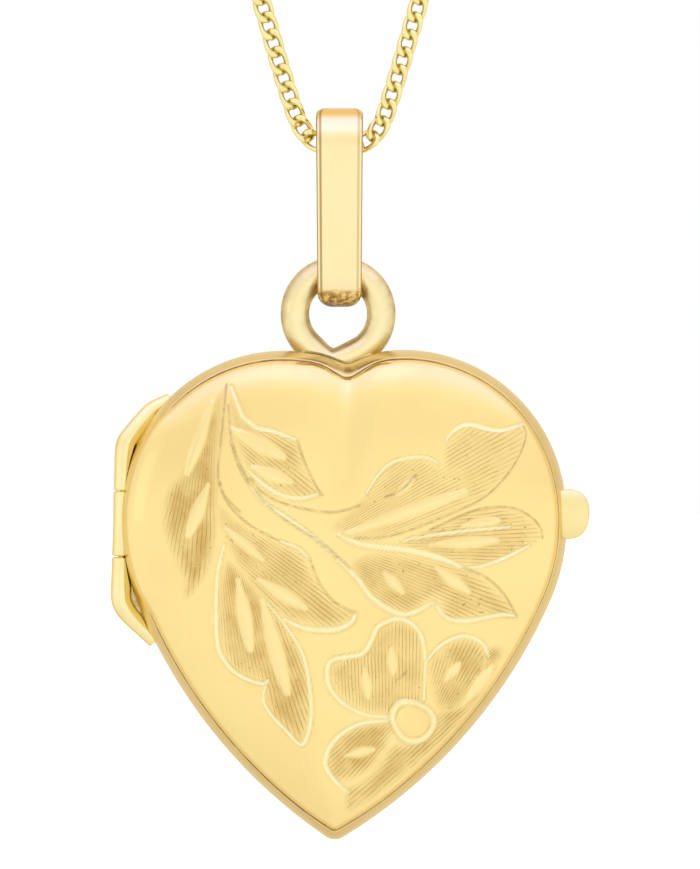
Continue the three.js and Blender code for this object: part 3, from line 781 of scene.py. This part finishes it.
def twisted_link(bm, layer, centre, along):
    """One curb link: an oval of flat wire whose two ends are twisted a quarter turn apart."""
    reach = LINK_PITCH / 2 + 0.5 * LINK_END[0]
    spread = CHAIN_WIDTH / 2 - LINK_SIDE[0]
    turn = Matrix.Rotation(atan2(along[0], along[2]), 4, "Y")
    verts = bmesh.ops.create_grid(bm, x_segments=20, y_segments=8, size=1)["verts"]

    def wire_centre(angle):
        lean = LINK_TWIST * cos(angle)
        side = spread * (abs(sin(angle)) ** LINK_SQUARENESS) * (1 if sin(angle) >= 0 else -1)
        return Vector((side * cos(lean), side * sin(lean), reach * cos(angle)))

    for vert in verts:
        angle, round_wire = pi * (vert.co.x + 1), pi * (vert.co.y + 1)
        here = wire_centre(angle)
        run = (wire_centre(angle + 0.05) - wire_centre(angle - 0.05)).normalized()
        out = (here - here.project(run)).normalized()
        across = run.cross(out)
        end = cos(angle) ** 2
        thick = (1 - end) * LINK_SIDE[0] + end * LINK_END[0]
        deep = (1 - end) * LINK_SIDE[1] + end * LINK_END[1]
        wall = out * cos(round_wire) * thick + across * sin(round_wire) * deep
        # Painted shade on the wire's inner side, where the links meet.
        vert[layer] = max(0.0, -cos(round_wire)) ** 2
        vert.co = turn @ (here + wall) + Vector(centre)


def curb_chain():
    line = chain_line(LINK_PITCH)
    bm = bmesh.new()
    layer = bm.verts.layers.float.new("painted_shade")
    for before, after in zip(line[:-1], line[1:]):
        twisted_link(bm, layer, (before + after) / 2, after - before)
    return close(bm)


chain_path = chain_line(0.25)
chain = finish_piece(curb_chain(), "curb_chain", WIRE, "chain", "chain")


def chain_end(start, after):
    """A frame at one end of the chain, whose +Z points on along it."""
    run = Vector(start) - Vector(after)
    return Matrix.Translation(start) @ Matrix.Rotation(atan2(run.x, run.z), 4, "Y")


def wire_ring(radius, wire, around=64, across=20):
    """A ring of round wire, lying in the XZ plane."""
    bm = bmesh.new()
    place = Matrix.Translation((radius, 0, 0))
    section = bmesh.ops.create_circle(bm, segments=across, radius=wire / 2, matrix=place)
    bmesh.ops.spin(
        bm, geom=section["verts"] + bm.edges[:], cent=(0, 0, 0), axis=(0, 1, 0),
        angle=2 * pi, steps=around, use_merge=True,
    )
    return close(bm)


def fitted_ring(end, radius, wire, turn, name, node):
    """A wire ring held by the last link, turned about the chain."""
    hung = Matrix.Translation((0, 0, CHAIN_GAP + radius + wire / 2))
    place = end @ hung @ Matrix.Rotation(turn, 4, "Z")
    return finish_piece(wire_ring(radius, wire), name, RING, "chain", node, place)


end_ring = fitted_ring(
    chain_end(chain_path[0], chain_path[1]), END_RING_RADIUS, END_RING_WIRE, 0,
    "chain_end_ring", "end_ring",
)
link_ring = fitted_ring(
    chain_end(chain_path[-1], chain_path[-2]), LINK_RING_RADIUS, LINK_RING_WIRE, pi / 2,
    "clasp_jump_ring", "clasp_link_ring",
)


def softened(node, name, material, body, width, sharp=35):
    """The plain solid part of that name, with its edges eased."""
    bm = bmesh.new()
    bm.from_mesh(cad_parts[node].data)
    bmesh.ops.scale(bm, vec=(1 / MM,) * 3, verts=bm.verts)
    bmesh.ops.remove_doubles(bm, verts=bm.verts, dist=1e-4)
    bmesh.ops.dissolve_limit(bm, angle_limit=radians(2), verts=bm.verts, edges=bm.edges)
    corners = [e for e in bm.edges if e.is_manifold and e.calc_face_angle() > radians(sharp)]
    eased(bm, corners, width)
    bmesh.ops.triangulate(bm, faces=bm.faces)
    return finish_piece(bm, name, material, body, node, sharp=sharp)


clasp_body = softened("clasp_body", "bolt_ring_clasp", RING, "chain", 0.03)
clasp_bolt = softened("clasp_bolt", "clasp_trigger_bolt", SATIN, "clasp_bolt", 0.02)
tuple(chain_path[0] * MM)
(chain_path * MM).tolist()

# ---- bail and ring


def rounded_strip(width, thickness, corner, steps=5, across=34):
    """Points round a strip's section: its corners rounded, its wide faces in even steps."""
    points = []
    for quarter, (sx, sy) in enumerate(((1, 1), (-1, 1), (-1, -1), (1, -1))):
        x, y = sx * (width / 2 - corner), sy * (thickness / 2 - corner)
        for k in range(steps + 1):
            angle = (quarter + k / steps) * pi / 2
            points.append((x + corner * cos(angle), y + corner * sin(angle)))
        if sx * sy > 0:
            points += [(run, sy * thickness / 2) for run in np.linspace(x, -x, across + 2)[1:-1]]
    return points


def bail_band():
    """A strip bent into a closed band: round at the top and the foot, narrower at the foot."""
    bottom_z = BAIL_TOP_RADIUS + BAIL_BOTTOM_RADIUS - BAIL_HEIGHT
    lean = asin((BAIL_TOP_RADIUS - BAIL_BOTTOM_RADIUS) / -bottom_z)
    middle = BAIL_SHEET / 2
    path = [
        (angle, radius - middle, z)
        for start, end, radius, z in (
            (-lean, pi + lean, BAIL_TOP_RADIUS, 0),
            (pi + lean, 2 * pi - lean, BAIL_BOTTOM_RADIUS, bottom_z),
        )
        for angle in np.linspace(start, end, 40)
    ]
    section = rounded_strip(BAIL_WIDTH, BAIL_SHEET, BAIL_EDGE)

    def spot(u, v):
        angle, radius, z = path[round(u * len(path)) % len(path)]
        x, out = section[round(v * len(section)) % len(section)]
        y = (radius + out) * cos(angle)
        height = z + (radius + out) * sin(angle)
        down = (BAIL_TOP_RADIUS - height) / BAIL_HEIGHT
        half = BAIL_WIDTH / 2 * (1 + down * (BAIL_FOOT_WIDTH / BAIL_WIDTH - 1))
        for corner, from_end in (
            (BAIL_TOP_CORNER, BAIL_TOP_RADIUS - height),
            (BAIL_FOOT_CORNER, height - BAIL_TOP_RADIUS + BAIL_HEIGHT),
        ):
            left = max(0.0, 1 - max(from_end, 0.0) / corner)
            half -= corner * (1 - sqrt(1 - left**2))
        return Vector((x * half / (BAIL_WIDTH / 2), y, height))

    # Painted edge shade, and painted dark bevel reflections on the outer face, darker on the left.
    def wear_and_edge_shade(_, v):
        x, out = section[round(v * len(section)) % len(section)]
        near = BAIL_WIDTH / 2 - abs(x)
        line = 0.9 if x < 0 else 0.5
        return 1.0 if near < 0.03 else line if 0.12 < near < 0.18 and out > 0 else 0.0

    return wrapped(len(path), len(section), spot, wear_and_edge_shade)


finish_piece(bail_band(), "bail_band", BAIL, "bail", "bail")


def ring_hole(angle):
    """The hole's edge: round, drawn to a notch where the wire's ends meet."""
    round_edge = RING_RADIUS - RING_WIRE / 2
    open_to = acos(round_edge / NOTCH_DEPTH)
    off = abs((angle - NOTCH_ANGLE + pi) % (2 * pi) - pi)
    if off > open_to:
        return round_edge
    off = sqrt(off**2 + NOTCH_SOFTNESS)
    return max(round_edge, round_edge / cos(open_to - off))


def hanging_ring():
    """A bent wire ring, its foot closed with solder."""

    def spot(u, v):
        angle, turn = 2 * pi * u, 2 * pi * v
        inner, outer = ring_hole(angle), RING_RADIUS + RING_WIRE / 2
        reach = (inner + outer) / 2 + (outer - inner) / 2 * cos(turn)
        return Vector((
            RING_X + reach * cos(angle), RING_Y + RING_WIRE / 2 * sin(turn),
            RING_Z + reach * sin(angle),
        ))

    # Painted shade along the wire's inner and outer edges.
    return wrapped(180, 40, spot, lambda _, v: cos(2 * pi * v) ** 2)


def carve(piece, bm):
    """Takes a shape, worked about the middle of the heart, out of a piece."""
    bmesh.ops.transform(bm, matrix=HEART, verts=bm.verts)
    cutter = placed("cutter", mesh_of(bm, "cutter"))
    cut = piece.modifiers.new("cut", "BOOLEAN")
    cut.operation, cut.solver, cut.object = "DIFFERENCE", "EXACT", cutter
    with bpy.context.temp_override(object=piece, active_object=piece):
        bpy.ops.object.modifier_apply(modifier=cut.name)
    bpy.data.objects.remove(cutter)
    piece.data.set_sharp_from_angle(angle=radians(35))


top_ring = heart_part(hanging_ring(), "hanging_ring", RING, "case", "top_ring")
carve(top_ring, slab(heart_loop(-COVER_CLEARANCE), -BLOCK_DEPTH, COVER_CLEARANCE))
carve(top_ring, slab(heart_loop(RING_SET), 0, BLOCK_DEPTH))

# ---- case and cover

# Each corner of a section: how far inside the outline, how deep, and its painted shade.
RIM_PROFILE = [
    (0.0, RIM_GAP, 0.4), (0.006, 0.04, 0.0), (0.05, 0.22, 0.0), (0.12, 0.46, 0.0), (0.2, 0.7, 0.0),
    (0.25, 0.83, 0.0), (0.285, 0.885, 0.0), (0.305, 0.895, 0.1), (0.316, 0.87, 0.7),
    (0.334, 0.87, 0.7), (0.35, RIM_HEIGHT, 0.1), (SHELF_WIDTH, RIM_HEIGHT, 0.0),
    (SHELF_WIDTH, SHELF_HEIGHT, 0.0), (RIM_WALL, SHELF_HEIGHT, 0.0), (RIM_WALL, RIM_GAP, 0.2),
]
FRAME_PROFILE = [
    (FRAME_INSET, SHELF_HEIGHT - FRAME_HEIGHT, 0.1), (FRAME_INSET, SHELF_HEIGHT, 0.6),
    (FRAME_INSET + FRAME_WIDTH, SHELF_HEIGHT, 0.6),
    (FRAME_INSET + 0.9 * FRAME_WIDTH, SHELF_HEIGHT - 0.6 * FRAME_HEIGHT, 0.1),
    (FRAME_INSET + 0.72 * FRAME_WIDTH, SHELF_HEIGHT - 0.92 * FRAME_HEIGHT, 0.0),
    (FRAME_INSET + 0.5 * FRAME_WIDTH, SHELF_HEIGHT - FRAME_HEIGHT, 0.0),
]
LIP_PROFILE = [
    (RIM_WALL + LIP_CLEARANCE, -LIP_REACH + 0.05, 0.0),
    (RIM_WALL + LIP_CLEARANCE / 2, -LIP_REACH / 2, 0.0), (RIM_WALL, SHELF_HEIGHT, 0.3),
    (RIM_WALL + LIP_THICKNESS, SHELF_HEIGHT, 0.3),
    (RIM_WALL + LIP_THICKNESS, -LIP_REACH + 0.03, 0.0),
    (RIM_WALL + 0.7 * LIP_THICKNESS, -LIP_REACH, 0.0),
    (RIM_WALL + 0.4 * LIP_THICKNESS, -LIP_REACH, 0.0),
]
HALF_WIDTH = max(x for x, _ in heart_loop(0))
HINGE_X = HINGE_INSET - HALF_WIDTH


def rod(radius, low, high, sides=48):
    """A round bar on the hinge's line."""
    bm = bmesh.new()
    bmesh.ops.create_cone(
        bm, cap_ends=True, segments=sides, radius1=radius, radius2=radius, depth=high - low,
        matrix=Matrix.Translation((HINGE_X, 0, (low + high) / 2)),
    )
    return bm


HALVES = (("back", 1, "case"), ("front", -1, "cover"))
TURNING = KNUCKLE_RADIUS + HINGE_GAP
back_band, front_band = (
    heart_part(
        heart_skin(RIM_PROFILE, side), half + "_band", BAND, body, half + "_rim"
    )
    for half, side, body in HALVES
)
carve(back_band, rod(TURNING, MIDDLE_BOTTOM - HINGE_GAP, MIDDLE_TOP + HINGE_GAP))
carve(front_band, rod(TURNING, MIDDLE_TOP - HINGE_GAP, HINGE_TOP + UPPER_ARM_ROOM))
carve(front_band, rod(TURNING, HINGE_BOTTOM - LOWER_ARM_ROOM, MIDDLE_BOTTOM + HINGE_GAP))
heart_part(
    domed_sheet(340, 262, 10, -1, engraving), "engraved_cover_face", FACE,
    "cover", "front_dome",
)
heart_part(
    domed_sheet(150, 120, 10, 1), "plain_back_face", BACK, "case", "back_dome"
)
for half, side, body in HALVES:
    heart_part(
        heart_skin(FRAME_PROFILE, side), half + "_frame", SATIN, body,
        half + "_photo_frame",
    )
lip = heart_part(
    heart_skin(LIP_PROFILE, 1), "closing_lip_strip", SATIN, "case", "closing_lip"
)


def box_between(low, high):
    bm = bmesh.new()
    middle = Matrix.Translation([(a + b) / 2 for a, b in zip(low, high)])
    size = Matrix.Diagonal([b - a for a, b in zip(low, high)] + [1])
    bmesh.ops.create_cube(bm, size=1, matrix=middle @ size)
    return bm


carve(lip, box_between(
    (HINGE_X - 1, -RIM_HEIGHT, HINGE_BOTTOM - KNUCKLE_RADIUS),
    (HINGE_X + 3 * KNUCKLE_RADIUS, RIM_HEIGHT, HINGE_TOP + KNUCKLE_RADIUS),
))

# ---- hinge and nib


def swept_bar(knots, around=36, steps=8):
    """A closed round bar through (x, y, z, radius) knots, with its ends eased."""
    line = curve_through(knots, steps=steps)
    runs = np.gradient(line[:, :3], axis=0)
    first, last = line[0].copy(), line[-1].copy()
    first[3] -= 0.05
    last[3] -= 0.05
    first[:3] -= 0.04 * runs[0] / np.linalg.norm(runs[0])
    last[:3] += 0.04 * runs[-1] / np.linalg.norm(runs[-1])
    shut = [first * (1, 1, 1, 0), first, *line, last, last * (1, 1, 1, 0)]
    leads = [runs[0], runs[0], *runs, runs[-1], runs[-1]]

    def spot(u, v):
        row = round(v * (len(shut) - 1))
        run = Vector(leads[row]).normalized()
        side = run.cross(Vector((0, 1, 0))).normalized()
        wall = side * cos(2 * pi * u) + side.cross(run) * sin(2 * pi * u)
        return Vector(shut[row][:3]) + wall * float(shut[row][3])

    return wrapped(around, len(shut) - 1, spot)


def plate(corners, low, high, ease):
    """A flat plate with eased edges and painted shade all over, its outline in the XZ plane."""
    bm = slab(corners, low, high)
    eased(bm, bm.edges[:], ease)
    # Painted shade over the whole plate.
    layer = bm.verts.layers.float.new("painted_shade")
    for vert in bm.verts:
        vert[layer] = 1.0
    return bm


def joined(first, second):
    """Both shapes in one."""
    first.verts.layers.float.new("painted_shade")
    mesh = mesh_of(second, "part", 1)
    first.from_mesh(mesh)
    bpy.data.meshes.remove(mesh)
    return first


# An end knuckle is the tube and the arm that bends from it to the case.
UPPER_TUBE = [
    (0.0, 0.0, MIDDLE_TOP + 0.05, KNUCKLE_RADIUS), (0.0, 0.0, 1.3, KNUCKLE_RADIUS),
    (0.0, 0.0, 1.9, KNUCKLE_RADIUS), (0.06, 0.02, 2.25, 0.365), (0.34, 0.1, 2.68, 0.345),
    (0.67, 0.22, 3.1, 0.335), (1.0, 0.3, 3.45, 0.31), (1.55, 0.34, 3.75, 0.28),
]
LOWER_TUBE = [
    (0.0, 0.0, MIDDLE_BOTTOM - 0.06, KNUCKLE_RADIUS), (0.0, 0.0, -2.6, KNUCKLE_RADIUS),
    (0.0, 0.0, -3.25, KNUCKLE_RADIUS), (0.1, 0.02, -3.6, 0.37), (0.34, 0.12, -3.92, 0.355),
    (0.84, 0.32, -4.4, 0.33), (1.25, 0.38, -4.78, 0.31),
]
MIDDLE_TUBE = [
    (0.0, 0.0, MIDDLE_TOP - 0.05, KNUCKLE_RADIUS), (0.0, 0.0, -0.2, 0.368),
    (0.0, 0.0, -1.2, 0.368), (0.0, 0.0, MIDDLE_BOTTOM + 0.06, KNUCKLE_RADIUS),
]
UPPER_EAR = [(0.05, 0.9), (1.5, 0.9), (1.7, 3.6), (1.0, 3.4), (0.3, 2.6)]
LOWER_EAR = [(0.05, -2.2), (0.1, -3.5), (0.8, -4.3), (1.3, -4.7), (1.3, -2.2)]
WALL = [(x, z) for x, z in heart_loop(WALL_DEPTH) if x < 0]


def within_wall(x, z):
    """A corner of an ear, kept from reaching through the case's wall."""
    return min(x, min(WALL, key=lambda spot: abs(spot[1] - z))[0]), z


def knuckle(name, node, body, tube, ear=None):
    shape = swept_bar([(HINGE_X + x, y, z, radius) for x, y, z, radius in tube])
    if ear:
        outline = [within_wall(HINGE_X + x, z) for x, z in ear]
        shape = joined(shape, plate(outline, EAR_LOW, EAR_HIGH, EAR_EASE))
    heart_part(shape, name, SOLDERED, body, node, sharp=50)


knuckle("upper_knuckle", "hinge_knuckle_top", "case", UPPER_TUBE, UPPER_EAR)
knuckle("lower_knuckle", "hinge_knuckle_bottom", "case", LOWER_TUBE, LOWER_EAR)
knuckle("middle_knuckle", "hinge_knuckle_middle", "cover", MIDDLE_TUBE)
heart_part(
    rod(PIN_RADIUS, HINGE_BOTTOM + PIN_STOP, HINGE_TOP - PIN_STOP), "hinge_wire", SATIN,
    "case", "hinge_pin", sharp=40,
)


def nib():
    """A domed half-round tab, flattened where it is soldered to the cover."""
    bm = bmesh.new()
    bmesh.ops.create_uvsphere(bm, u_segments=48, v_segments=32, radius=1)
    for vert in bm.verts:
        x, y, z = vert.co
        squarer = 1 + NIB_SQUARENESS * (x * z) ** 2
        vert.co = (
            HALF_WIDTH + NIB_REACH * x * squarer, -RIM_HEIGHT / 2 + NIB_THICKNESS / 2 * y,
            NIB_Z + NIB_LENGTH / 2 * z * squarer,
        )
    bmesh.ops.bisect_plane(
        bm, geom=bm.verts[:] + bm.edges[:] + bm.faces[:], plane_co=(HALF_WIDTH - NIB_ROOT, 0, 0),
        plane_no=(-1, 0, 0), clear_outer=True,
    )
    bmesh.ops.holes_fill(bm, edges=bm.edges, sides=0)
    return close(bm)


heart_part(nib(), "opening_nib", NIB, "cover", "thumb_nib", sharp=60)

# ---- floor and light

floor_shape = bmesh.new()
bmesh.ops.create_circle(floor_shape, cap_ends=True, segments=96, radius=1.5)
bmesh.ops.translate(floor_shape, vec=(0, 0, -0.03), verts=floor_shape.verts)
floor = placed("floor", mesh_of(floor_shape, "floor", 1))
floor.visible_glossy = False
paper = bpy.data.materials.new("floor_paper")
paper.use_nodes = True
sheet_graph = Graph(paper.node_tree)
matt_white = {
    "Base Color": (0.8, 0.8, 0.8, 1), "Roughness": 1.0, "Emission Color": (1, 1, 1, 1),
    "Emission Strength": 0.75,
}
sheet_shader = sheet_graph.node("BsdfPrincipled", inputs=matt_white)
sheet_graph.node("OutputMaterial", inputs={"Surface": sheet_shader})
floor.data.materials.append(paper)

world = bpy.data.worlds.new("studio")
scene.world = world
world.use_nodes = True
sky = Graph(world.node_tree)
side, depth, height = sky.parts(sky.node("TexCoord", output="Generated"))
behind = depth.above(-0.05, 0.45) * (1 - depth.above(0.8, 0.97))
overhead = height.above(0.5, 0.85)
dip = height.above(0.04, 0.2) * (1 - height.above(0.42, 0.6))
below = (height * -1).above(0.2, 0.8)
light = 1.07 - dip * 0.07 + overhead * 0.1 - below * 0.07 - (side * -1).above(0.02, 0.3) * 0.05
tint = sky.mix(overhead, (1, 1, 1, 1), (1, 0.97, 1.5, 1))
tint = sky.mix(behind, tint, (0.84, 0.73, 0.54, 1))
camera_ray = sky.node("LightPath", output="Is Camera Ray")
studio = sky.node("Background", inputs={"Color": tint, "Strength": light})
plain = sky.node("Background", inputs={"Color": (1, 1, 1, 1), "Strength": 1.0})
seen = sky.node("MixShader", inputs={0: camera_ray, 1: studio, 2: plain})
sky.node("OutputWorld", inputs={"Surface": seen})


HEART_CENTRE = (0, 0, -0.013)


def softbox(name, place, size, power):
    """A square area light that faces the heart."""
    lamp = bpy.data.lights.new(name, "AREA")
    lamp.shape, lamp.size, lamp.energy = "SQUARE", size, power
    made = placed(name, lamp)
    made.location = place
    aim = Vector(HEART_CENTRE) - Vector(place)
    made.rotation_euler = aim.to_track_quat("-Z", "Y").to_euler()


softbox("overhead_box", (-0.05, -0.16, 0.28), 0.16, 0.009)
softbox("left_box", (-0.3, -0.2, 0.05), 0.14, 0.008)

scene.view_settings.view_transform = "Standard"
